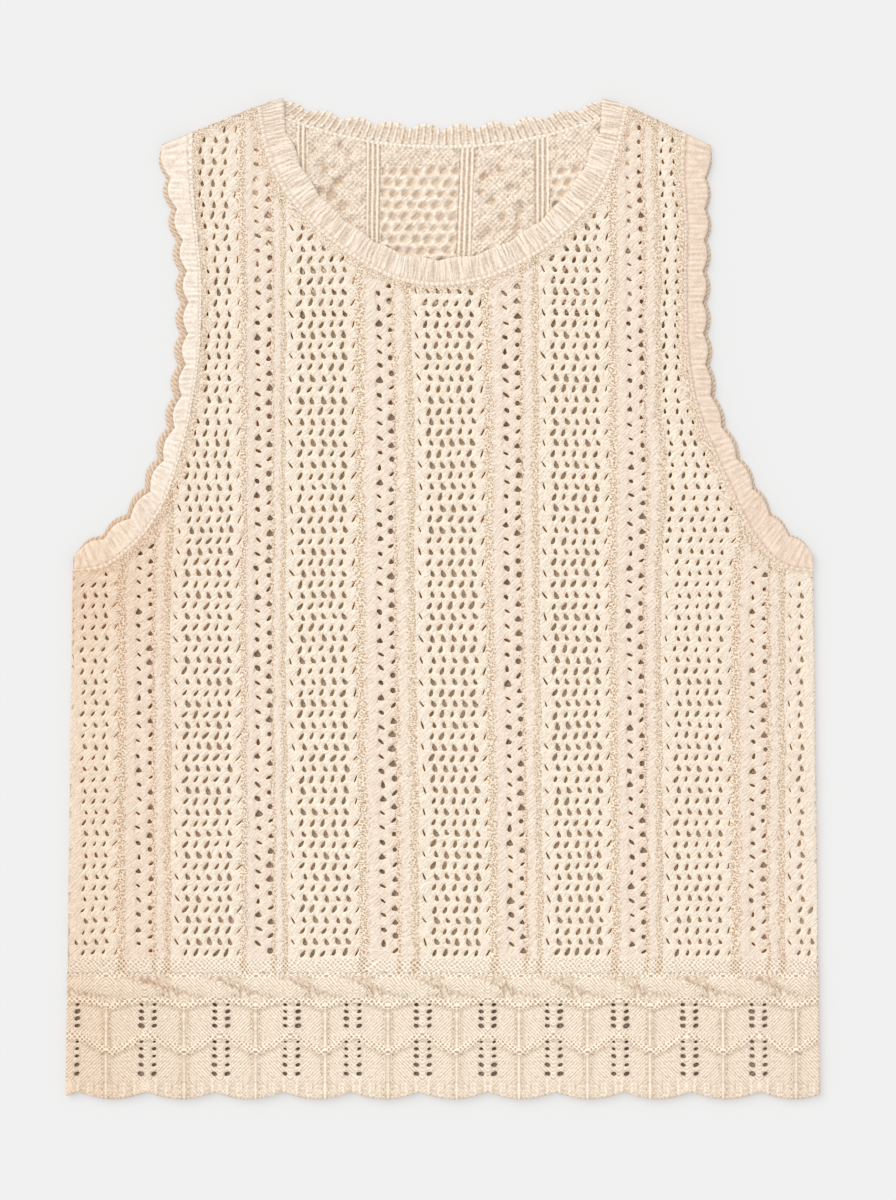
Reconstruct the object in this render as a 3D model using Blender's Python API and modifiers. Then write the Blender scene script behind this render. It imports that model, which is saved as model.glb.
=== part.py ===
"""A sleeveless lace-knit top, laid flat with its back panel down.

Units are metres. +X runs across the garment, +Y from the hem to the neck and +Z up.
The origin is on the surface that the top lies on, under the middle of the garment.
The back pieces lie on that surface and the front pieces lie on them. Each piece is a
knitted wall of its own: two body panels, two hem borders, and the neck and armhole
bands, which are sewn on front and back.
"""

import math

import bmesh
import bpy
from mathutils import Vector, geometry

MM = 0.001

# Cloth
WALL = 2.0 * MM
GAP = 0.3 * MM
FRONT_LIFT = 1.5 * MM  # how far the front panel stands off the back in its middle
SEAM_INSET = 0.6 * GAP  # each piece stops this far short of the seam line
GRID_CELL = 18 * MM

# Body, from the hem seam up to the underarm
HALF_CHEST = 207.2 * MM
HALF_HEM = 211.0 * MM
UNDERARM_Y = 15.5 * MM
HEM_SEAM_Y = -210.0 * MM
HEM_EDGE_Y = -280.2 * MM

# Shoulder line, from the top of the neck band down to the tip
NECK_POINT = (92.0 * MM, 280.8 * MM)
SHOULDER_TIP = (156.5 * MM, 253.0 * MM)

# Back neck, as depth below the neck point at the centre
BACK_EDGE_DROP = 14.6 * MM
BACK_SEAM_Y = 253.0 * MM
BACK_SEAM_POWER = 2.2

# Scallops, as bumps along a band's free edge
ARM_SCALLOP = {"pitch": 18.0 * MM, "depth": 3.0 * MM, "points": 4}
BACK_NECK_SCALLOP = {"pitch": 19.3 * MM, "depth": 3.6 * MM, "points": 5}
FRONT_NECK_SCALLOP = {"pitch": 19.3 * MM, "depth": 1.4 * MM, "points": 4}
HEM_SCALLOP = {"pitch": 38.2 * MM, "depth": 4.0 * MM, "points": 6, "valley_x": 25.0 * MM}
FRONT_ARM_PEEK = 3.6 * MM  # the back armhole band shows this much past the front one

# One row for each section of an armhole, from the underarm to the shoulder:
# the band's free edge and the seam where it joins the body, in millimetres.
ARMHOLE_COLUMNS = ("edge_x", "edge_y", "seam_x", "seam_y")
ARMHOLE_ROWS = (
    (207.0, 27.0, 207.2, 15.5),
    (199.0, 33.5, 191.0, 17.5),
    (188.0, 42.0, 178.0, 26.5),
    (177.0, 54.0, 166.0, 40.5),
    (168.0, 69.0, 155.0, 60.5),
    (160.0, 89.0, 146.0, 85.5),
    (154.5, 111.0, 140.5, 111.0),
    (151.0, 140.0, 136.5, 140.0),
    (150.0, 175.0, 135.5, 175.0),
    (151.0, 210.0, 136.0, 210.0),
    (154.0, 238.0, 137.0, 238.0),
    (156.5, 253.0, 138.0, 261.0),
)

# One row for each section of the front neck, from the shoulder to the centre.
NECK_COLUMNS = ("edge_x", "edge_y", "seam_x", "seam_y")
NECK_ROWS = (
    (88.0, 280.8, 103.5, 275.8),
    (88.5, 268.0, 101.5, 266.0),
    (83.0, 253.0, 97.5, 249.0),
    (76.0, 237.5, 89.5, 230.0),
    (67.0, 225.0, 78.0, 215.5),
    (56.0, 214.0, 65.0, 203.0),
    (41.0, 203.0, 48.0, 190.5),
    (22.0, 194.0, 25.5, 179.5),
    (0.0, 190.7, 0.0, 175.5),
)

# Where the cloth was pulled along X as it was laid down, in millimetres: the middle of the
# pull, how far it reaches across and down, and how far it moved the cloth.
PULLS = (
    {"x": -160.0, "y": 237.0, "across": 85.0, "down": 72.0, "move": -4.6},  # the left strap leans out
    {"x": 160.0, "y": 250.0, "across": 80.0, "down": 50.0, "move": -4.4},  # the right strap leans in
    {"x": 165.0, "y": 64.0, "across": 80.0, "down": 62.0, "move": 6.4},  # bowed beside the right armhole
    {"x": -155.0, "y": 45.0, "across": 70.0, "down": 38.0, "move": 1.8},  # and beside the left one
    {"x": 0.0, "y": 175.0, "across": 60.0, "down": 95.0, "move": -2.7},  # the middle, below the neck
    {"x": 15.0, "y": -205.0, "across": 170.0, "down": 250.0, "move": 2.9},  # the lace leans above the hem
)
PULLED_TO_Y = (-216.0, -206.0)  # the pulls fade out across the hem seam

CREAM = (0.90, 0.78, 0.64)
MATERIALS = {
    "lace_knit": {"color": CREAM, "roughness": 0.9},
    "rib_trim": {"color": (0.91, 0.80, 0.67), "roughness": 0.88},
}


def clear_scene():
    for obj in list(bpy.data.objects):
        bpy.data.objects.remove(obj, do_unlink=True)


def smoothstep(value):
    clamped = min(max(value, 0.0), 1.0)
    return clamped * clamped * (3.0 - 2.0 * clamped)


def slip(x, y):
    """How far along X the cloth at a point has slipped."""
    moved = 0.0
    for pull in PULLS:
        across = (x / MM - pull["x"]) / pull["across"]
        down = (y / MM - pull["y"]) / pull["down"]
        moved += pull["move"] * smoothstep(1.0 - math.hypot(across, down))
    above_seam = (y / MM - PULLED_TO_Y[0]) / (PULLED_TO_Y[1] - PULLED_TO_Y[0])
    return moved * min(max(above_seam, 0.0), 1.0) * MM


def smooth_curve(points, per_span):
    """Points on a Catmull-Rom curve through the given ones, per_span to each stretch."""
    padded = [2 * points[0] - points[1]] + points + [2 * points[-1] - points[-2]]
    found = []
    for before, start, end, after in zip(padded, padded[1:], padded[2:], padded[3:]):
        for step in range(per_span):
            t = step / per_span
            found.append(
                0.5
                * (
                    2 * start
                    + (end - before) * t
                    + (2 * before - 5 * start + 4 * end - after) * t**2
                    + (3 * start - 3 * end + after - before) * t**3
                )
            )
    return found + [points[-1].copy()]


def rails(columns, rows, per_span=8):
    """The free edge and the seam of a band, as two smooth curves with matching points."""
    table = [dict(zip(columns, row)) for row in rows]
    edge = [Vector((row["edge_x"], row["edge_y"])) * MM for row in table]
    seam = [Vector((row["seam_x"], row["seam_y"])) * MM for row in table]
    return smooth_curve(edge, per_span), smooth_curve(seam, per_span)


def resample(edge, seam, count):
    """Matching points of both rails, evenly spaced along the edge."""
    lengths = [0.0]
    for start, end in zip(edge, edge[1:]):
        lengths.append(lengths[-1] + (end - start).length)
    pairs = []
    span = 0
    for index in range(count + 1):
        goal = lengths[-1] * index / count
        while span < len(edge) - 2 and lengths[span + 1] < goal:
            span += 1
        blend = (goal - lengths[span]) / (lengths[span + 1] - lengths[span])
        blend = min(max(blend, 0.0), 1.0)
        pairs.append((edge[span].lerp(edge[span + 1], blend), seam[span].lerp(seam[span + 1], blend)))
    return pairs


def edge_length(edge):
    return sum((end - start).length for start, end in zip(edge, edge[1:]))


def sections(edge, seam, scallop):
    """Matching (edge, seam) points, scallop["points"] of them to each bump of the edge."""
    bumps = max(1, round(edge_length(edge) / scallop["pitch"]))
    return resample(edge, seam, bumps * scallop["points"])


def seam_side(pairs, scallop, inset):
    """The seam with a section at each bump's ends, moved by inset towards the edge."""
    picked = pairs[:: scallop["points"]]
    return [seam + (edge - seam).normalized() * inset for edge, seam in picked]


def band_outline(edge, seam, scallop, peek=0.0):
    """The outline of a band whose free edge has round bumps, set back by peek midway."""
    pairs = sections(edge, seam, scallop)
    free = []
    for index, (edge_point, seam_point) in enumerate(pairs):
        bump = math.sin(math.pi * (index % scallop["points"]) / scallop["points"])
        along = max(math.sin(math.pi * index / (len(pairs) - 1)), 0.0)
        back = scallop["depth"] * (1.0 - bump) + peek * math.sqrt(along)
        free.append(edge_point - (edge_point - seam_point).normalized() * back)
    return seam_side(pairs, scallop, SEAM_INSET) + free[::-1]


def body_side(edge, seam, scallop):
    """The body panel's side of the seam that a band is sewn to."""
    return seam_side(sections(edge, seam, scallop), scallop, -SEAM_INSET)


def mirrored(points):
    return [Vector((-point.x, point.y)) for point in points]


def side_x(y):
    """Half the garment's width at a height below the underarm."""
    blend = (UNDERARM_Y - y) / (UNDERARM_Y - HEM_EDGE_Y)
    return HALF_CHEST + (HALF_HEM - HALF_CHEST) * blend


def shoulder_y(x):
    blend = (x - NECK_POINT[0]) / (SHOULDER_TIP[0] - NECK_POINT[0])
    return NECK_POINT[1] + (SHOULDER_TIP[1] - NECK_POINT[1]) * blend


def back_neck_rails(stations=24):
    """The back neck's free edge and seam, from the +X shoulder to the -X one."""
    seam_reach = NECK_ROWS[0][NECK_COLUMNS.index("seam_x")] * MM
    seam_rise = shoulder_y(seam_reach) - BACK_SEAM_Y
    edge = []
    seam = []
    for index in range(stations + 1):
        across = 1.0 - 2.0 * index / stations
        edge.append(Vector((NECK_POINT[0] * across, NECK_POINT[1] - BACK_EDGE_DROP * (1.0 - across**2))))
        rise = seam_rise * abs(across) ** BACK_SEAM_POWER
        seam.append(Vector((seam_reach * across, BACK_SEAM_Y + rise)))
    return edge, seam


def front_neck_rails():
    """The front neck's free edge and seam, from the +X shoulder round to the -X one."""
    other_half = tuple(
        (-edge_x, edge_y, -seam_x, seam_y) for edge_x, edge_y, seam_x, seam_y in NECK_ROWS[-2::-1]
    )
    return rails(NECK_COLUMNS, NECK_ROWS + other_half)


def hem_y(x):
    """The hem's free edge: lobes between the eyelet pairs and valleys at them."""
    phase = math.pi * (x - HEM_SCALLOP["valley_x"]) / HEM_SCALLOP["pitch"]
    return HEM_EDGE_Y + HEM_SCALLOP["depth"] * (1.0 - abs(math.sin(phase)))


def panel_outline(neck_seam, hem_points=12):
    """The outline of a body panel, anticlockwise from the -X end of the hem seam."""
    bottom = HEM_SEAM_Y + SEAM_INSET
    half_width = side_x(bottom)
    hem = [Vector((half_width * (2.0 * i / hem_points - 1.0), bottom)) for i in range(hem_points + 1)]
    armhole = body_side(*rails(ARMHOLE_COLUMNS, ARMHOLE_ROWS), ARM_SCALLOP)
    return hem + armhole + neck_seam + mirrored(armhole[::-1])


def border_outline():
    """The outline of a hem border, anticlockwise from the -X end of its scalloped edge."""
    top = HEM_SEAM_Y - SEAM_INSET
    half_width = side_x(HEM_EDGE_Y)
    steps = round(2 * half_width / HEM_SCALLOP["pitch"] * HEM_SCALLOP["points"])
    stations = [half_width * (2.0 * i / steps - 1.0) for i in range(steps + 1)]
    edge = [Vector((x, hem_y(x))) for x in stations]
    seam = [Vector((x * side_x(top) / half_width, top)) for x in stations[:: -HEM_SCALLOP["points"]]]
    return edge + seam


def back_height(x, y):
    return 0.0


def front_height(x, y):
    """The underside of the front: on the back at the edges, lifted in the middle."""
    across = 1.0 - min(abs(x) / HALF_CHEST, 1.0) ** 4
    down_from_shoulder = smoothstep((shoulder_y(abs(x)) - y) / (120 * MM))
    up_from_hem = 0.35 + 0.65 * smoothstep((y - HEM_EDGE_Y) / (150 * MM))
    return WALL + GAP + FRONT_LIFT * across * down_from_shoulder * up_from_hem


def is_inside(point, outline):
    inside = False
    for start, end in zip(outline, outline[1:] + outline[:1]):
        if (start.y > point.y) != (end.y > point.y):
            crossing = start.x + (point.y - start.y) / (end.y - start.y) * (end.x - start.x)
            inside ^= point.x < crossing
    return inside


def grid_points(outline):
    """Points on a regular grid inside the outline, clear of it by part of a cell."""
    xs = [point.x for point in outline]
    ys = [point.y for point in outline]
    columns = int((max(xs) - min(xs)) / GRID_CELL)
    lines = int((max(ys) - min(ys)) / GRID_CELL)
    found = []
    for column in range(1, columns):
        for line in range(1, lines):
            x = min(xs) + (max(xs) - min(xs)) * column / columns
            y = min(ys) + (max(ys) - min(ys)) * line / lines
            point = Vector((x, y))
            clear = all((point - other).length > 0.5 * GRID_CELL for other in outline)
            if clear and is_inside(point, outline):
                found.append(point)
    return found


def cloth_piece(name, outline, height, collection, parent, material, inner=()):
    """A knitted wall over an outline: a triangulated sheet at height(x, y), thickened up."""
    points = list(outline) + list(inner)
    face = list(range(len(outline)))
    flat, _, faces, *_ = geometry.delaunay_2d_cdt(points, [], [face], 1, 1e-7)
    sheet = bmesh.new()
    verts = [sheet.verts.new((p.x + slip(p.x, p.y), p.y, height(p.x, p.y))) for p in flat]
    for corners in faces:
        sheet.faces.new([verts[index] for index in corners])
    bmesh.ops.delete(sheet, geom=[vert for vert in verts if not vert.link_faces], context="VERTS")
    bmesh.ops.recalc_face_normals(sheet, faces=sheet.faces)
    if sum(found.normal.z for found in sheet.faces) < 0:
        bmesh.ops.reverse_faces(sheet, faces=sheet.faces)
    mesh = bpy.data.meshes.new(name)
    sheet.to_mesh(mesh)
    sheet.free()
    mesh.materials.append(material)
    piece = bpy.data.objects.new(name, mesh)
    piece.parent = parent
    collection.objects.link(piece)
    wall = piece.modifiers.new("wall", "SOLIDIFY")
    wall.thickness = WALL
    wall.offset = 1.0
    return piece


def knit_material(name, kind):
    look = MATERIALS[kind]
    material = bpy.data.materials.new(name)
    material.use_nodes = True
    shader = material.node_tree.nodes["Principled BSDF"]
    shader.inputs["Base Color"].default_value = (*look["color"], 1.0)
    shader.inputs["Roughness"].default_value = look["roughness"]
    shader.inputs["Metallic"].default_value = 0.0
    return material


def build():
    clear_scene()
    collection = bpy.data.collections.new("crochet_top")
    bpy.context.scene.collection.children.link(collection)
    root = bpy.data.objects.new("crochet_top_root", None)
    collection.objects.link(root)

    def piece(name, outline, height, kind, inner=()):
        cloth_piece(name, outline, height, collection, root, knit_material(name, kind), inner)

    back_edge, back_seam = back_neck_rails()
    front_edge, front_seam = front_neck_rails()
    back_outline = panel_outline(body_side(back_edge, back_seam, BACK_NECK_SCALLOP))
    front_outline = panel_outline(body_side(front_edge, front_seam, FRONT_NECK_SCALLOP))
    piece("back_panel", back_outline, back_height, "lace_knit")
    piece("front_panel", front_outline, front_height, "lace_knit", grid_points(front_outline))
    piece("hem_border_back", border_outline(), back_height, "lace_knit")
    piece("hem_border_front", border_outline(), front_height, "lace_knit")

    back_neck = band_outline(back_edge, back_seam, BACK_NECK_SCALLOP)
    front_neck = band_outline(front_edge, front_seam, FRONT_NECK_SCALLOP)
    piece("neck_band_back", back_neck, back_height, "rib_trim")
    piece("neck_band_front", front_neck, front_height, "rib_trim")

    arm_rails = rails(ARMHOLE_COLUMNS, ARMHOLE_ROWS)
    back_arm = band_outline(*arm_rails, ARM_SCALLOP)
    front_arm = band_outline(*arm_rails, ARM_SCALLOP, peek=FRONT_ARM_PEEK)
    for side, place in (("right", list), ("left", mirrored)):
        piece(f"armhole_band_back_{side}", place(back_arm), back_height, "rib_trim")
        piece(f"armhole_band_front_{side}", place(front_arm), front_height, "rib_trim")


build()
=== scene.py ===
"""The look of a sleeveless lace-knit top, laid flat and seen from straight above.

Lengths are in millimetres until a mesh is made. The outlines repeat those of the CAD
model: +X runs across the garment, +Y from the hem to the neck and +Z up.
"""
import math
import random

import bpy
import numpy as np
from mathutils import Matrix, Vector, noise


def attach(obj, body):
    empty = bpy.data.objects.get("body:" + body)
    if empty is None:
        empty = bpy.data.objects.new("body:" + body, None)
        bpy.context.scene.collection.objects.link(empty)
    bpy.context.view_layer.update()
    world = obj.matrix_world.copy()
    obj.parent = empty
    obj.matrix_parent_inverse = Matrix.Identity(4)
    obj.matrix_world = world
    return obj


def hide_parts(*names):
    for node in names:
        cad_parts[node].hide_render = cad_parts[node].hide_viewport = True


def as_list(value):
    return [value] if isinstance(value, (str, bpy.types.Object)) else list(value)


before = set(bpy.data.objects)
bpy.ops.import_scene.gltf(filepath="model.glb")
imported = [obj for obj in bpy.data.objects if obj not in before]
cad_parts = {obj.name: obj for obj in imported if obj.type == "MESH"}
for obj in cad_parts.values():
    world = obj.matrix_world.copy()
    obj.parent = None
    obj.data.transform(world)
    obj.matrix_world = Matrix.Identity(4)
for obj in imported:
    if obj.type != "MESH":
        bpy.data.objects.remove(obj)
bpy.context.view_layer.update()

MM = 0.001
random.seed(11)

# Cloth, as in the CAD model
WALL = 2.0
GAP = 0.3
FRONT_LIFT = 1.5
SEAM_INSET = 0.6 * GAP

# Body
HALF_CHEST = 207.2
HALF_HEM = 211.0
UNDERARM_Y = 15.5
HEM_SEAM_Y = -210.0
HEM_EDGE_Y = -280.2
NECK_POINT = (92.0, 280.8)
SHOULDER_TIP = (156.5, 253.0)
BACK_EDGE_DROP = 14.6
BACK_SEAM_Y = 253.0
BACK_SEAM_POWER = 2.2

ARM_SCALLOP = {"pitch": 18.0, "depth": 3.0}
RIGHT_ARM_SCALLOP = dict(ARM_SCALLOP, depth=2.2)  # it lies flatter
BACK_NECK_SCALLOP = {"pitch": 19.3, "depth": 3.6}
FRONT_NECK_SCALLOP = {"pitch": 19.3, "depth": 1.4}
HEM_SCALLOP = {"pitch": 38.2, "depth": 4.0, "valley_x": 25.0}
FRONT_ARM_PEEK = {"left": 4.8, "right": 2.6}  # how much of the back band shows past the front one

# Each row is a section of a band: the free edge's x and y, then the seam's.
ARMHOLE_ROWS = (
    (207.0, 27.0, 207.2, 15.5),
    (199.0, 33.5, 191.0, 17.5),
    (188.0, 42.0, 178.0, 26.5),
    (177.0, 54.0, 166.0, 40.5),
    (168.0, 69.0, 155.0, 60.5),
    (160.0, 89.0, 146.0, 85.5),
    (154.5, 111.0, 140.5, 111.0),
    (151.0, 140.0, 136.5, 140.0),
    (150.0, 175.0, 135.5, 175.0),
    (151.0, 210.0, 136.0, 210.0),
    (154.0, 238.0, 137.0, 238.0),
    (156.5, 253.0, 138.0, 261.0),
)
NECK_ROWS = (
    (88.0, 280.8, 103.5, 275.8),
    (88.5, 268.0, 101.5, 266.0),
    (83.0, 253.0, 97.5, 249.0),
    (76.0, 237.5, 89.5, 230.0),
    (67.0, 225.0, 78.0, 215.5),
    (56.0, 214.0, 65.0, 203.0),
    (41.0, 203.0, 48.0, 190.5),
    (22.0, 194.0, 25.5, 179.5),
    (0.0, 190.7, 0.0, 175.5),
)

# Where the cloth was pulled along X as it was laid down: the middle of the pull, how far it
# reaches across and down, and how far the cloth moved
PULLS = (
    {"x": -160.0, "y": 237.0, "across": 85.0, "down": 72.0, "move": -4.6},  # the left strap leans out
    {"x": 160.0, "y": 250.0, "across": 80.0, "down": 50.0, "move": -4.4},  # the right strap leans in
    {"x": 165.0, "y": 64.0, "across": 80.0, "down": 62.0, "move": 6.4},  # bowed beside the right armhole
    {"x": -155.0, "y": 45.0, "across": 70.0, "down": 38.0, "move": 1.8},  # and beside the left one
    {"x": 0.0, "y": 175.0, "across": 60.0, "down": 95.0, "move": -2.7},  # the middle, below the neck
    {"x": 15.0, "y": -205.0, "across": 170.0, "down": 250.0, "move": 2.9},  # the lace leans above the hem
)
PULLED_TO_Y = (-216.0, -206.0)  # the pulls fade out across the hem seam

# Lace: mesh stripes with a pair of eyelet columns halfway between them
STRIPE_CENTRES = (-201.0, -132.0, -67.6, 4.8, 74.2, 142.8, 212.0)
PITCH = 69.1
MESH_COLUMN = 5.83
MESH_SIDE = 3  # columns of holes on each side of the middle one
HALF_MESH = (MESH_SIDE + 0.5) * MESH_COLUMN
EYELET_COLUMN = 5.3
EYELET_SHIFT = -0.75
ROW = 6.07 / 6
MESH_ROWS = 6  # fine rows to a mesh hole
EYELET_ROWS = 8  # and to an eyelet
LEANING_ROW_Y = -4.2  # the middle of a row of holes that lean to the right
ROWS_BELOW = 34
LOWEST_HOLE_Y = -201.0
ZIGZAG = 0.84  # how far the lines inside the mesh sway
STAGGER = 0.45  # how far a leaning hole is moved back
HOLE_SIZES = (0.84, 1.2)  # by chance, as are the next two
HOLE_TURN = 13.0
HOLE_STRAY = 0.3
DRAWN_IN = 0.27  # how much smaller the holes are near the sides
STRAP_STRIPE = 5  # only this stripe's left edge is on the right strap, where its first column is open too
STRAP_FROM_Y = 30.0
SPLIT_X = -21.5  # where the two pieces of a panel meet
DENSE_RIDGES = ((21.5, 30.0), (39.0, 48.5))  # raised stretches between a mesh stripe and the next
RIDGE_RISE = 0.3
EDGE_STEPS = 3  # how many steps the level edge of a cell has
SIDE_EDGE = 9.0  # how far in from the side seam a hole may come closer to the edge
SIDE_MARGIN = 2.6
MARGIN = 3.3
LOST_BEYOND = 9.0  # points that would be further outside the outline than this aren't made


# Kinds of stitch, which a piece's points carry and its shader reads
PLAIN = 0.0
SEEDED, RIBBED, HATCHED = 1.0, 2.0, 3.0  # in the hem
CHAINED, GATHERED = 1.0, 3.0  # in a band, which has ribbed stretches too
UPRIGHT_RIB, PURLED = 1.0, 2.0  # in the yoke


def smoothstep(value):
    clamped = min(max(value, 0.0), 1.0)
    return clamped * clamped * (3.0 - 2.0 * clamped)


def ramp(value, start, end):
    return smoothstep((value - start) / (end - start))


def hump(value, start, end):
    """A smooth bump, 1 midway between start and end and 0 outside them."""
    along = (value - start) / (end - start)
    return math.sin(math.pi * along) if 0.0 < along < 1.0 else 0.0


def wobble(x, y, size, seed=0.0):
    return noise.noise(Vector((x / size, y / size, seed)))


def uneven(x, y, seed):
    """How far the knitting strays at a point, along one axis."""
    return wobble(x, y, 24, seed) + 0.5 * wobble(x, y, 7, seed + 4.0)


def slip(x, y):
    """How far along X the cloth has slipped at each of the points, as arrays."""
    moved = np.zeros(len(x))
    for pull in PULLS:
        away = np.hypot((x - pull["x"]) / pull["across"], (y - pull["y"]) / pull["down"])
        near = np.clip(1.0 - away, 0.0, 1.0)
        moved += pull["move"] * near * near * (3.0 - 2.0 * near)
    above_seam = np.clip((y - PULLED_TO_Y[0]) / (PULLED_TO_Y[1] - PULLED_TO_Y[0]), 0.0, 1.0)
    return moved * above_seam


def side_x(y):
    blend = (UNDERARM_Y - y) / (UNDERARM_Y - HEM_EDGE_Y)
    return HALF_CHEST + (HALF_HEM - HALF_CHEST) * blend


def shoulder_y(x):
    blend = (x - NECK_POINT[0]) / (SHOULDER_TIP[0] - NECK_POINT[0])
    return NECK_POINT[1] + (SHOULDER_TIP[1] - NECK_POINT[1]) * blend


def hem_y(x):
    phase = math.pi * (x - HEM_SCALLOP["valley_x"]) / HEM_SCALLOP["pitch"]
    return HEM_EDGE_Y + HEM_SCALLOP["depth"] * (1.0 - abs(math.sin(phase)))


def front_height(x, y):
    across = 1.0 - min(abs(x) / HALF_CHEST, 1.0) ** 4
    down_from_shoulder = smoothstep((shoulder_y(abs(x)) - y) / 120)
    up_from_hem = 0.35 + 0.65 * smoothstep((y - HEM_EDGE_Y) / 150)
    return WALL + GAP + FRONT_LIFT * across * down_from_shoulder * up_from_hem


def back_height(x, y):
    return 0.0


def smooth_curve(points, per_span):
    padded = [2 * points[0] - points[1]] + points + [2 * points[-1] - points[-2]]
    found = []
    for before, start, end, after in zip(padded, padded[1:], padded[2:], padded[3:]):
        for step in range(per_span):
            t = step / per_span
            found.append(
                0.5
                * (
                    2 * start
                    + (end - before) * t
                    + (2 * before - 5 * start + 4 * end - after) * t**2
                    + (3 * start - 3 * end + after - before) * t**3
                )
            )
    return found + [points[-1].copy()]


def rails(rows):
    """A band's free edge and its seam, as smooth curves through its sections."""
    edge = [Vector(row[:2]) for row in rows]
    seam = [Vector(row[2:]) for row in rows]
    return smooth_curve(edge, 8), smooth_curve(seam, 8)


def resample(edge, seam, count):
    """Pairs of points on both rails, evenly apart along the edge."""
    lengths = [0.0]
    for start, end in zip(edge, edge[1:]):
        lengths.append(lengths[-1] + (end - start).length)
    pairs = []
    span = 0
    for index in range(count + 1):
        goal = lengths[-1] * index / count
        while span < len(edge) - 2 and lengths[span + 1] < goal:
            span += 1
        blend = (goal - lengths[span]) / (lengths[span + 1] - lengths[span])
        blend = min(max(blend, 0.0), 1.0)
        pairs.append((edge[span].lerp(edge[span + 1], blend), seam[span].lerp(seam[span + 1], blend)))
    return pairs


def edge_length(edge):
    return sum((end - start).length for start, end in zip(edge, edge[1:]))


def bump_count(edge, scallop):
    return max(1, round(edge_length(edge) / scallop["pitch"]))


def mirrored(points):
    """The points on the other side of the middle of the garment."""
    return [Vector((-point.x, point.y)) for point in points]


def back_neck_rails(stations=24):
    seam_reach = NECK_ROWS[0][2]
    seam_rise = shoulder_y(seam_reach) - BACK_SEAM_Y
    edge = []
    seam = []
    for index in range(stations + 1):
        across = 1.0 - 2.0 * index / stations
        edge.append(Vector((NECK_POINT[0] * across, NECK_POINT[1] - BACK_EDGE_DROP * (1.0 - across**2))))
        rise = seam_rise * abs(across) ** BACK_SEAM_POWER
        seam.append(Vector((seam_reach * across, BACK_SEAM_Y + rise)))
    return edge, seam


def front_neck_rails():
    other_half = tuple(
        (-edge_x, edge_y, -seam_x, seam_y) for edge_x, edge_y, seam_x, seam_y in NECK_ROWS[-2::-1]
    )
    return rails(NECK_ROWS + other_half)


def body_side(edge, seam, scallop):
    """The body's side of a seam, a little short of it."""
    pairs = resample(edge, seam, 2 * bump_count(edge, scallop))
    return [on_seam - (on_edge - on_seam).normalized() * SEAM_INSET for on_edge, on_seam in pairs]


class Region:
    """The inside of an outline, with the distance to its edge."""

    def __init__(self, outline):
        self.start = np.array([(point.x, point.y) for point in outline])
        self.step = np.roll(self.start, -1, axis=0) - self.start
        self.length2 = np.maximum((self.step**2).sum(axis=1), 1e-9)

    def nearest(self, x, y):
        """(signed distance, nearest point of the outline), positive inside."""
        point = np.array((x, y))
        along = np.clip(((point - self.start) * self.step).sum(axis=1) / self.length2, 0.0, 1.0)
        feet = self.start + self.step * along[:, None]
        gaps = ((feet - point) ** 2).sum(axis=1)
        best = int(gaps.argmin())
        y0 = self.start[:, 1]
        y1 = y0 + self.step[:, 1]
        crosses = (y0 > y) != (y1 > y)
        heights = np.where(crosses, self.step[:, 1], 1.0)
        hits = crosses & (x < self.start[:, 0] + (y - y0) / heights * self.step[:, 0])
        inside = int(hits.sum()) % 2 == 1
        gap = math.sqrt(gaps[best])
        return (gap if inside else -gap), feet[best]


class Cloth:
    """Points and faces of one piece, with the values that its shader reads."""

    def __init__(self, name):
        self.name = name
        self.points = []
        self.knit = []
        self.depth = []
        self.faces = []

    def add(self, x, y, z, u, v, depth=0.0, kind=0.0):
        self.points.append((x * MM, y * MM, z * MM))
        self.knit.append((u, v, kind))
        self.depth.append(depth)
        return len(self.points) - 1

    def toward(self, index, target, blend):
        """(x, y, u, v) part of the way from a point to a target."""
        x, y, _ = self.points[index]
        u, v, _ = self.knit[index]
        return tuple(here + (there - here) * blend for here, there in zip((x / MM, y / MM, u, v), target))

    def add_face(self, corners, flip=False):
        kept = [corner for at, corner in enumerate(corners) if corner != corners[at - 1]]
        if len(kept) < 3:
            return
        self.faces.append(tuple(reversed(kept)) if flip else tuple(kept))

    def band(self, first, second, flip=False):
        """Quads between two closed rings of the same size, the second inside the first."""
        count = len(first)
        for at in range(count):
            after = (at + 1) % count
            self.add_face((first[at], first[after], second[after], second[at]), flip)

    def used_once(self):
        """The edges that only one face has, in that face's order."""
        seen = {}
        for face in self.faces:
            for start, end in zip(face, face[1:] + face[:1]):
                key = (start, end) if start < end else (end, start)
                seen[key] = None if key in seen else (start, end)
        return [edge for edge in seen.values() if edge]

    def make(self, material, node, slot):
        mesh = bpy.data.meshes.new(self.name)
        points = np.array(self.points)
        points[:, 0] += slip(points[:, 0] / MM, points[:, 1] / MM) * MM
        mesh.from_pydata(points.tolist(), [], self.faces)
        mesh.materials.append(material)
        knit = mesh.attributes.new("knit", "FLOAT_VECTOR", "POINT")
        knit.data.foreach_set("vector", np.array(self.knit, np.float32).ravel())
        # depth: how far the shader tints each point with its painted light and shade colour, in holes,
        # grooves and turned edges
        depth = mesh.attributes.new("depth", "FLOAT", "POINT")
        depth.data.foreach_set("value", np.array(self.depth, np.float32))
        mesh.polygons.foreach_set("use_smooth", np.ones(len(mesh.polygons), bool))
        mesh.update()
        piece = bpy.data.objects.new(self.name, mesh)
        bpy.context.scene.collection.objects.link(piece)
        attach(piece, "root")
        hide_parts(node)
        return piece


def hole_shape(width, height, lean=0.0, taper=0.0, turn=0.0):
    return {"width": width, "height": height, "lean": lean, "taper": taper, "turn": math.radians(turn)}


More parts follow.
